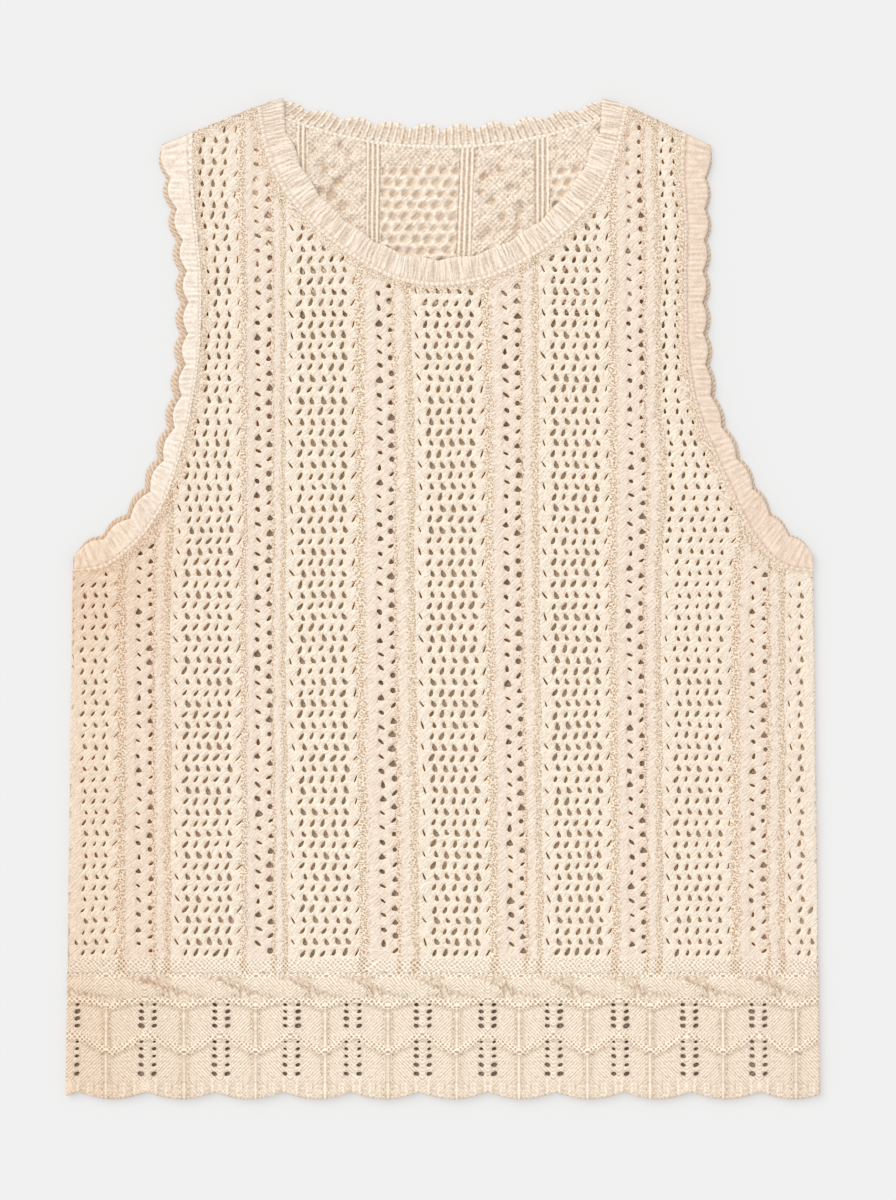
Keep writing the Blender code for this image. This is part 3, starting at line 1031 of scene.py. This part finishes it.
def yoke(name, material, node):
    cloth = Cloth(name)
    columns = round(2 * YOKE_REACH / YOKE_STEP)
    rows = round((BACK_SEAM_Y - YOKE_BOTTOM) / YOKE_STEP)
    grid = []
    for column in range(columns + 1):
        x = YOKE_REACH * (2.0 * column / columns - 1.0)
        top = yoke_top(x)
        line = []
        for row in range(rows + 1):
            y = YOKE_BOTTOM + (top - YOKE_BOTTOM) * row / rows
            rise, groove, kind = yoke_relief(x, y)
            line.append(cloth.add(x, y, max(YOKE_FACE + rise, YOKE_FLOOR), x, y, groove, kind))
        # The turned edges get a little painted shade.
        line.append(cloth.add(x, top, 0.0, x, top, 0.4))
        line.append(cloth.add(x, YOKE_BOTTOM, 0.0, x, YOKE_BOTTOM, 0.4))
        grid.append(line)
    for first, second in zip(grid, grid[1:]):
        cloth.band(first, second, True)
    cloth.add_face(grid[0], True)
    cloth.add_face(grid[-1])
    stations = [YOKE_REACH * step / 20 for step in range(20, -21, -1)]
    bottom = [Vector((-YOKE_REACH, YOKE_BOTTOM)), Vector((YOKE_REACH, YOKE_BOTTOM))]
    cloth.make(material, node, "lace_knit")
    bottom + [Vector((x, yoke_top(x))) for x in stations]


# Shaders


def srgb(red, green, blue):
    """A linear colour from one in 0-255 screen values."""
    found = []
    for value in (red, green, blue):
        value /= 255
        found.append(value / 12.92 if value <= 0.04045 else ((value + 0.055) / 1.055) ** 2.4)
    return (*found, 1.0)


class Shader:
    """A Principled material and short ways to add nodes to it."""

    def __init__(self, name):
        self.material = bpy.data.materials.new(name)
        self.material.use_nodes = True
        self.tree = self.material.node_tree
        self.surface = self.tree.nodes["Principled BSDF"]

    def node(self, kind, **values):
        made = self.tree.nodes.new(kind)
        for key, value in values.items():
            setattr(made, key, value)
        return made

    def put(self, socket, value):
        if isinstance(value, bpy.types.NodeSocket):
            self.tree.links.new(value, socket)
        else:
            socket.default_value = value

    def math(self, operation, *values, clamp=False):
        made = self.node("ShaderNodeMath", operation=operation, use_clamp=clamp)
        for socket, value in zip(made.inputs, values):
            self.put(socket, value)
        return made.outputs[0]

    def wave(self, value, pitch, phase=0.0):
        """0 to 1, once per pitch."""
        angle = self.math("MULTIPLY_ADD", value, 2 * math.pi / pitch, phase)
        return self.math("MULTIPLY_ADD", self.math("SINE", angle), 0.5, 0.5)

    def within(self, value, start, end, soft=0.6):
        """1 between start and end and 0 outside them."""
        rise = self.node("ShaderNodeMapRange", interpolation_type="SMOOTHSTEP")
        fall = self.node("ShaderNodeMapRange", interpolation_type="SMOOTHSTEP")
        for made, low, high in ((rise, start - soft, start + soft), (fall, end + soft, end - soft)):
            self.put(made.inputs["Value"], value)
            self.put(made.inputs["From Min"], low)
            self.put(made.inputs["From Max"], high)
        return self.math("MULTIPLY", rise.outputs[0], fall.outputs[0])

    def is_kind(self, kind, wanted):
        """1 where the stitch is of the wanted kind."""
        return self.within(kind, wanted - 0.5, wanted + 0.5, 0.3)

    def added(self, base, *shares):
        """The base with each (factor, amount) added to it."""
        for factor, amount in shares:
            base = self.math("MULTIPLY_ADD", factor, amount, base)
        return base

    def tinted(self, factor, colour, tint):
        """The colour, multiplied by the tint as far as the factor says."""
        return self.mix(factor, colour, self.mix(1.0, colour, tint, "MULTIPLY"))

    def dress(self, values):
        """Sets inputs of the surface."""
        for name, value in values.items():
            self.put(self.surface.inputs[name], value)

    def blend(self, factor, first, second):
        made = self.node("ShaderNodeMix", data_type="FLOAT")
        for socket, value in zip(made.inputs[0:1] + made.inputs[2:4], (factor, first, second)):
            self.put(socket, value)
        return made.outputs[0]

    def mix(self, factor, first, second, kind="MIX"):
        made = self.node("ShaderNodeMix", data_type="RGBA", blend_type=kind)
        self.put(made.inputs["Factor"], factor)
        for socket, value in zip(made.inputs[6:8], (first, second)):
            self.put(socket, value)
        return made.outputs[2]

    def vector(self, *values):
        made = self.node("ShaderNodeCombineXYZ")
        for socket, value in zip(made.inputs, values):
            self.put(socket, value)
        return made.outputs[0]

    def strokes(self, u, v, slope, scale=0.62):
        """Short strokes, uneven in length, that rise to the right where slope is 1."""
        along = self.math("MULTIPLY", self.math("MULTIPLY_ADD", v, slope, u), 0.2)
        across = self.math("MULTIPLY_ADD", v, -slope, u)
        found = self.noise(self.vector(along, across, 0.0), scale, 1.0)
        return self.math("MULTIPLY_ADD", found, 3.2, -1.1, clamp=True)

    def cells(self, u, v, scale):
        """The distance to the nearest of some scattered points, scale of them to a millimetre."""
        made = self.node("ShaderNodeTexVoronoi", voronoi_dimensions="2D")
        self.put(made.inputs["Vector"], self.vector(u, v, 0.0))
        self.put(made.inputs["Scale"], scale)
        return made.outputs["Distance"]

    def noise(self, vector, scale, detail=2.0):
        made = self.node("ShaderNodeTexNoise")
        self.put(made.inputs["Vector"], vector)
        self.put(made.inputs["Scale"], scale)
        self.put(made.inputs["Detail"], detail)
        return made.outputs["Fac"]


# GROOVE is painted shade: the low parts of the stitches are mixed towards it.
YARN = srgb(251, 240, 224)
GROOVE = srgb(186, 157, 125)
PINK = (0.955, 0.918, 0.915, 1.0)
TAN = (0.95, 0.9, 0.85, 1.0)
# LEFT_TINT darkens the yarn towards the left edge, and paints the shade of a fold round the left underarm.
LEFT_TINT = (0.955, 0.895, 0.84, 1.0)
# Painted light and shade, tinted in by each point's depth: HOLE_SHADE lightens and warms the walls of the
# lace's holes, GROOVE_SHADE darkens grooves, creases and holes elsewhere.
HOLE_SHADE = (1.36, 1.2, 1.02, 1.0)
GROOVE_SHADE = (0.62, 0.5, 0.39, 1.0)
INSIDE_YARN = srgb(255, 243, 227)
HEM_YARN = srgb(255, 244, 226)
BAND_YARN = srgb(250, 237, 221)
PALE_BAND_YARN = srgb(255, 246, 233)
# Painted shade: the right armhole band's front is a darker copy of the band yarn, for the shade that lies
# on it.
BAND_YARN_IN_PAINTED_SHADE = srgb(244, 226, 208)
# Painted shade: the back armhole bands are darker where the front bands shade them.
ROPE_YARN_IN_SHADE, ROPE_GROOVE_IN_SHADE = srgb(236, 216, 194), srgb(168, 140, 112)
YARN_FINISH = {"Roughness": 0.9, "Specular IOR Level": 0.2, "Sheen Weight": 0.08, "Sheen Roughness": 0.5}
BUMP_STRENGTH = 0.6
LEFT_UNDERARM = (-0.205, 0.02, 0.0)  # in metres; painted shade of a fold darkens the yarn round it


def knit_shader(name, pattern, yarn=YARN, groove=GROOVE, shade=GROOVE_SHADE, relief=0.4):
    """A yarn material, whose pattern gives the stitches' height, contrast, pinkness and tan."""
    shader = Shader(name)
    knit = shader.node("ShaderNodeAttribute", attribute_name="knit")
    split = shader.node("ShaderNodeSeparateXYZ")
    shader.put(split.inputs[0], knit.outputs["Vector"])
    depth = shader.node("ShaderNodeAttribute", attribute_name="depth").outputs["Fac"]
    drift = shader.math("SUBTRACT", shader.noise(knit.outputs["Vector"], 0.16, 1.0), 0.5)
    u = shader.math("MULTIPLY_ADD", drift, 2.2, split.outputs[0])
    v = shader.math("MULTIPLY_ADD", drift, -1.7, split.outputs[1])
    height, contrast, pinkness, tan = pattern(shader, u, v, split.outputs[0], split.outputs[2])
    fuzz = shader.noise(knit.outputs["Vector"], 0.8, 4.0)
    patch = shader.noise(knit.outputs["Vector"], 0.035, 2.0)
    height = shader.math("MULTIPLY_ADD", shader.math("SUBTRACT", fuzz, 0.5), 2.2, height)
    # Painted shade: the lower a stitch's surface, the more its colour is mixed towards the groove colour.
    lit = shader.math("MULTIPLY", shader.math("SUBTRACT", 1.0, height), contrast, clamp=True)
    colour = shader.mix(lit, yarn, groove)
    place = shader.node("ShaderNodeTexCoord")
    where = shader.node("ShaderNodeSeparateXYZ")
    shader.put(where.inputs[0], place.outputs["Object"])
    side = shader.math("ABSOLUTE", where.outputs[0])
    side = shader.math("MULTIPLY_ADD", side, 6.0, -0.45, clamp=True)
    patchy = shader.math("MULTIPLY", side, shader.math("MULTIPLY_ADD", patch, 2.0, -0.3), clamp=True)
    pinkness = shader.math("ADD", patchy, pinkness, clamp=True)
    colour = shader.tinted(pinkness, colour, PINK)
    colour = shader.tinted(tan, colour, TAN)
    at_left = shader.math("MULTIPLY_ADD", where.outputs[0], -11.0, -1.4, clamp=True)
    colour = shader.tinted(at_left, colour, LEFT_TINT)
    # Painted shade of a fold round the left underarm.
    away = shader.node("ShaderNodeVectorMath", operation="DISTANCE")
    shader.put(away.inputs[0], place.outputs["Object"])
    shader.put(away.inputs[1], LEFT_UNDERARM)
    underarm_fold_shade = shader.math("MULTIPLY_ADD", away.outputs["Value"], -20.0, 1.3, clamp=True)
    colour = shader.tinted(underarm_fold_shade, colour, LEFT_TINT)
    # Painted light and shade by depth: lighter and warmer down the lace's holes, darker in the grooves and
    # holes of the other pieces.
    colour = shader.tinted(depth, colour, shade)
    bump = shader.node("ShaderNodeBump")
    shader.put(bump.inputs["Strength"], BUMP_STRENGTH)
    shader.put(bump.inputs["Distance"], relief * MM)
    shader.put(bump.inputs["Height"], height)
    shader.dress({"Base Color": colour, "Normal": bump.outputs[0], **YARN_FINISH})
    return shader.material


def seed_stitch(shader, u, v, pitch):
    """Small low dots between raised yarn, in rows, which the shader paints in shade."""
    first = shader.wave(shader.math("ADD", u, v), pitch * 1.41)
    second = shader.wave(shader.math("SUBTRACT", u, v), pitch * 1.41)
    dots = shader.math("MULTIPLY", first, second)
    return shader.math("MULTIPLY_ADD", dots, -2.0, 1.0, clamp=True)


def specks(shader, u, v):
    """Small low dots, scattered among raised yarn, which the shader paints in shade."""
    away = shader.cells(u, v, 0.88)
    return shader.math("MULTIPLY_ADD", away, 3.2, -0.62, clamp=True)


def pebbles(shader, u, v):
    """Raised bumps with low gaps between them, which the shader paints in shade."""
    away = shader.cells(u, v, 0.6)
    return shader.math("MULTIPLY_ADD", away, -1.7, 1.3, clamp=True)


def lace_pattern(shader, u, v, raw_u, kind):
    """Seed stitch and dashes beside the mesh, and slanting rows elsewhere."""
    w = shader.math("FLOORED_MODULO", shader.math("ADD", u, HALF_MESH), PITCH)
    w = shader.math("SUBTRACT", w, HALF_MESH)
    slant = shader.wave(shader.math("SUBTRACT", u, v), 2.3)
    smooth = shader.blend(0.6, slant, shader.strokes(u, v, 1.0))
    seeds = specks(shader, u, v)
    dashes = shader.blend(0.3, seeds, shader.strokes(u, v, -1.0, 0.9))
    at_edge = shader.math("MULTIPLY", kind, 0.75, clamp=True)
    ragged = shader.math("SUBTRACT", shader.noise(shader.vector(u, v, 0.0), 0.45, 2.0), 0.5)
    frayed = shader.math("MULTIPLY_ADD", ragged, 7.0, w)
    in_seeds = shader.within(frayed, 18.6, 23.4, 1.2)
    in_garter = shader.within(v, -212.0, -202.0)
    in_line = shader.within(frayed, 37.8, 40.2, 0.8)
    in_seeds = shader.math("MAXIMUM", shader.math("MAXIMUM", in_seeds, at_edge), in_line)
    in_dashes = shader.within(frayed, 44.6, 51.4, 1.3)
    in_mesh = shader.within(w, -18.0, 18.0, 1.0)
    height = shader.blend(in_seeds, smooth, seeds)
    height = shader.blend(in_dashes, height, dashes)
    height = shader.blend(in_garter, height, seed_stitch(shader, u, v, 1.9))
    contrast = shader.added(0.42, (in_seeds, 0.5), (in_dashes, 0.5), (in_garter, 0.2), (in_mesh, 0.02))
    pinkness = shader.math("SUBTRACT", shader.within(w, 23.0, 44.0, 1.5), in_garter, clamp=True)
    pinkness = shader.math("MULTIPLY", pinkness, 0.75)
    return height, contrast, pinkness, shader.math("MAXIMUM", in_seeds, in_dashes)


def hem_pattern(shader, u, v, raw_u, kind):
    """Slanting rows that fan down from each rib, with seed stitch on the ridges."""
    fan = shader.wave(shader.math("ADD", u, v), 2.1)
    fan = shader.blend(0.25, fan, shader.strokes(u, v, -1.0, 0.8))
    flutes = shader.strokes(u, shader.math("MULTIPLY", v, 0.25), 0.0, 0.55)
    fan = shader.blend(shader.math("MULTIPLY", shader.within(v, -290.0, -270.5, 2.0), 0.55), fan, flutes)
    seeds = seed_stitch(shader, u, v, 2.0)
    ribs = shader.wave(raw_u, 2.4, math.pi / 2)
    in_seeds = shader.is_kind(kind, SEEDED)
    in_ribs = shader.is_kind(kind, RIBBED)
    in_hatch = shader.is_kind(kind, HATCHED)
    height = shader.blend(in_seeds, fan, seeds)
    height = shader.blend(in_ribs, height, ribs)
    height = shader.blend(in_hatch, height, shader.strokes(u, v, 0.5, 0.95))
    contrast = shader.added(0.62, (in_seeds, 0.25), (in_hatch, 0.15))
    return height, contrast, shader.math("MULTIPLY_ADD", in_seeds, -0.4, 0.4), 0.0


def band_pattern(shader, u, v, raw_u, kind):
    """Lines across the band, and a chain where it is joined on."""
    lines = shader.noise(shader.vector(u, shader.math("MULTIPLY", v, 0.07), 0.0), 1.0, 0.0)
    lines = shader.math("MULTIPLY_ADD", lines, 4.0, -1.4, clamp=True)
    ribs = shader.wave(raw_u, BACK_NECK_SCALLOP["pitch"] / BACK_NECK_RIBS, math.pi / 2)
    chain = shader.wave(raw_u, 2.41)
    on_seam = shader.is_kind(kind, CHAINED)
    ribbed = shader.is_kind(kind, RIBBED)
    gathered = shader.is_kind(kind, GATHERED)
    gathers = shader.noise(shader.vector(u, shader.math("MULTIPLY", v, 0.3), 0.0), 0.45, 0.0)
    gathers = shader.math("MULTIPLY_ADD", gathers, 3.2, -1.0, clamp=True)
    lines = shader.blend(shader.math("MULTIPLY", gathered, 0.65), lines, gathers)
    ribs = shader.math("POWER", ribs, 0.45)
    height = shader.blend(on_seam, shader.blend(ribbed, lines, ribs), chain)
    contrast = shader.added(0.5, (on_seam, -0.1), (ribbed, 0.4), (gathered, -0.15))
    return height, contrast, 0.12, 0.0


def rope_pattern(shader, u, v, raw_u, kind):
    """Slanting strands round the edge of a band."""
    return shader.wave(shader.math("MULTIPLY_ADD", v, 0.9, raw_u), 2.8), 0.5, 0.0, 0.0


def yoke_pattern(shader, u, v, raw_u, kind):
    """Upright ribs, purl bumps and plain mesh, by the kind of stitch."""
    ribs = shader.wave(raw_u, YOKE_RIB_PITCH, math.pi / 2)
    purl = shader.blend(0.3, pebbles(shader, u, v), seed_stitch(shader, u, v, 2.4))
    plain = shader.strokes(u, v, 1.0)
    in_ribs = shader.is_kind(kind, UPRIGHT_RIB)
    in_purl = shader.is_kind(kind, PURLED)
    height = shader.blend(in_ribs, plain, ribs)
    height = shader.blend(in_purl, height, purl)
    contrast = shader.added(0.42, (in_ribs, 0.25), (in_purl, 0.06))
    return height, contrast, 0.2, 0.0


# The pieces, together

BACK_FACE = 0.8
BACK_SHIFT = (2.9, 3.0)  # how far the back's stripes are from the front's
FRONT_HOLE_SIZE, BACK_HOLE_SIZE = 0.97, 0.75
FRONT_COLUMNS, BACK_COLUMNS = 8, 4  # columns of faces between two stripes of holes


def panel_outline(neck_seam):
    bottom = HEM_SEAM_Y + SEAM_INSET
    half_width = side_x(bottom)
    armhole = body_side(*rails(ARMHOLE_ROWS), ARM_SCALLOP)
    hem = [Vector((-half_width, bottom)), Vector((half_width, bottom))]
    return hem + armhole + neck_seam + mirrored(armhole[::-1])


def front_face(x, y):
    return front_height(x, y) + WALL


def back_face(x, y):
    return BACK_FACE


def make_body():
    lace = knit_shader("lace_knit", lace_pattern, shade=HOLE_SHADE)
    front_seam = body_side(*front_neck_rails(), FRONT_NECK_SCALLOP)
    lattice_panel("front_lace", panel_outline(front_seam), front_face, 1, (0.0, 0.0), FRONT_HOLE_SIZE,
                  FRONT_COLUMNS, FRONT_RINGS, lace, "front_panel")
    notch = [Vector((YOKE_REACH, shoulder_y(YOKE_REACH))), Vector((YOKE_REACH, YOKE_BOTTOM)),
             Vector((-YOKE_REACH, YOKE_BOTTOM)), Vector((-YOKE_REACH, shoulder_y(YOKE_REACH)))]
    lattice_panel("back_lace", panel_outline(notch), back_face, -1, BACK_SHIFT, BACK_HOLE_SIZE,
                  BACK_COLUMNS, BACK_RINGS, lace, "back_panel")
    yoke("back_yoke", knit_shader("lace_inside", yoke_pattern, INSIDE_YARN), "back_panel")


def make_hems():
    hem = knit_shader("hem_knit", hem_pattern, HEM_YARN)
    hem_border("front_hem", front_face, 1, False, HEM_RINGS, hem, "hem_border_front")
    hem_border("back_hem", back_face, -1, True, BACK_RINGS, hem, "hem_border_back", PRESSED_FLAT)


def make_bands():
    ribbed = knit_shader("rib_trim", band_pattern, BAND_YARN)
    # The back armhole bands in painted shade, darker where the front bands cover them.
    shaded = knit_shader("rib_trim_back", rope_pattern, ROPE_YARN_IN_SHADE, ROPE_GROOVE_IN_SHADE)
    pale = knit_shader("rib_trim_pale", band_pattern, PALE_BAND_YARN)
    # A shaded copy of the band yarn for the right armhole band's front: painted shade.
    band_in_painted_shade = knit_shader("rib_trim_in_painted_shade", band_pattern, BAND_YARN_IN_PAINTED_SHADE)
    band("front_neck_band", *front_neck_rails(), FRONT_NECK_SCALLOP, front_height, FRONT_NECK_RIBS,
         "neck_band_front", ribbed, rib_rise=0.22, rests_on=["back_panel"])
    band("back_neck_band", *back_neck_rails(), BACK_NECK_SCALLOP, back_height, BACK_NECK_RIBS,
         "neck_band_back", pale, rib_rise=0.6, rib_groove=0.9, rib_kind=RIBBED)
    edge, seam = rails(ARMHOLE_ROWS)
    sides = (("right", list, RIGHT_ARM_SCALLOP, band_in_painted_shade), ("left", mirrored, ARM_SCALLOP, pale))
    for side, place, scallop, front in sides:
        curves = place(edge), place(seam)
        band(f"front_armhole_band_{side}", *curves, scallop, front_height, ARM_RIBS,
             f"armhole_band_front_{side}", front, peek=FRONT_ARM_PEEK[side], rib_rise=0.15,
             rib_kind=GATHERED, rests_on=[f"armhole_band_back_{side}"])
        band(f"back_armhole_band_{side}", *curves, scallop, back_height, ARM_RIBS,
             f"armhole_band_back_{side}", shaded, rib_rise=0.3)


# Parts of outlines and the length of a band, in millimetres


def clipped(outline, x, side):
    """The part of an outline to the left (side -1) or right (side 1) of x."""
    found = []
    for start, end in zip(outline, outline[1:] + outline[:1]):
        if side * (start.x - x) >= 0.0:
            found.append(start)
        if (start.x - x) * (end.x - x) < 0.0:
            found.append(start.lerp(end, (x - start.x) / (end.x - start.x)))
    return found


def lay_strip(piece, edge, seam, rests_on=()):
    """Works out the length of a band's middle line, which is not used further."""
    length = edge_length([(a + b) / 2 for a, b in zip(edge, seam)])
    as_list(rests_on)


# Setting

FRAME_CENTRE = (2.8, -0.84)
FRAME_LENGTH = 672.0
LENS = 100.0
SENSOR = 36.0
CLOTH_TOP = 5.0
WHITE = (1.0, 1.0, 1.0, 1.0)
WORLD_STRENGTH = 0.79
LAMP_ENERGY = 1.42
LAMP_ANGLE = 50
LAMP_FROM = (-0.55, 0.6, 1.0)
FLOOR_HALF = 4.0  # in metres
FLOOR_DROP = 0.0005
FLOOR_LOOK = {
    "Base Color": (0.46, 0.46, 0.46, 1.0),
    "Emission Color": WHITE,
    "Emission Strength": 0.355,
    "Roughness": 0.95,
    "Specular IOR Level": 0.0,
}


def make_setting():
    scene = bpy.context.scene
    scene.view_settings.view_transform = "Standard"
    world = bpy.data.worlds.new("studio")
    scene.world = world
    world.use_nodes = True
    world.node_tree.nodes["Background"].inputs["Color"].default_value = WHITE
    world.node_tree.nodes["Background"].inputs["Strength"].default_value = WORLD_STRENGTH

    lamp = bpy.data.lights.new("softbox", "SUN")
    lamp.energy = LAMP_ENERGY
    lamp.angle = math.radians(LAMP_ANGLE)
    light = bpy.data.objects.new("softbox", lamp)
    light.rotation_euler = Vector(LAMP_FROM).to_track_quat("Z", "Y").to_euler()
    scene.collection.objects.link(light)

    floor_mesh = bpy.data.meshes.new("floor")
    corners = [(x * FLOOR_HALF, y * FLOOR_HALF, 0.0) for x, y in ((-1, -1), (1, -1), (1, 1), (-1, 1))]
    floor_mesh.from_pydata(corners, [], [(0, 1, 2, 3)])
    floor_shader = Shader("pale_floor")
    floor_shader.dress(FLOOR_LOOK)
    floor_mesh.materials.append(floor_shader.material)
    floor = bpy.data.objects.new("floor", floor_mesh)
    floor.location.z = -FLOOR_DROP
    scene.collection.objects.link(floor)

    lens = bpy.data.cameras.new("camera")
    lens.lens = LENS
    lens.sensor_width = SENSOR
    lens.clip_end = 10.0
    camera = bpy.data.objects.new("camera", lens)
    distance = FRAME_LENGTH * LENS / SENSOR + CLOTH_TOP
    camera.location = (FRAME_CENTRE[0] * MM, FRAME_CENTRE[1] * MM, distance * MM)
    scene.collection.objects.link(camera)
    scene.camera = camera


make_body()
make_hems()
make_bands()
make_setting()
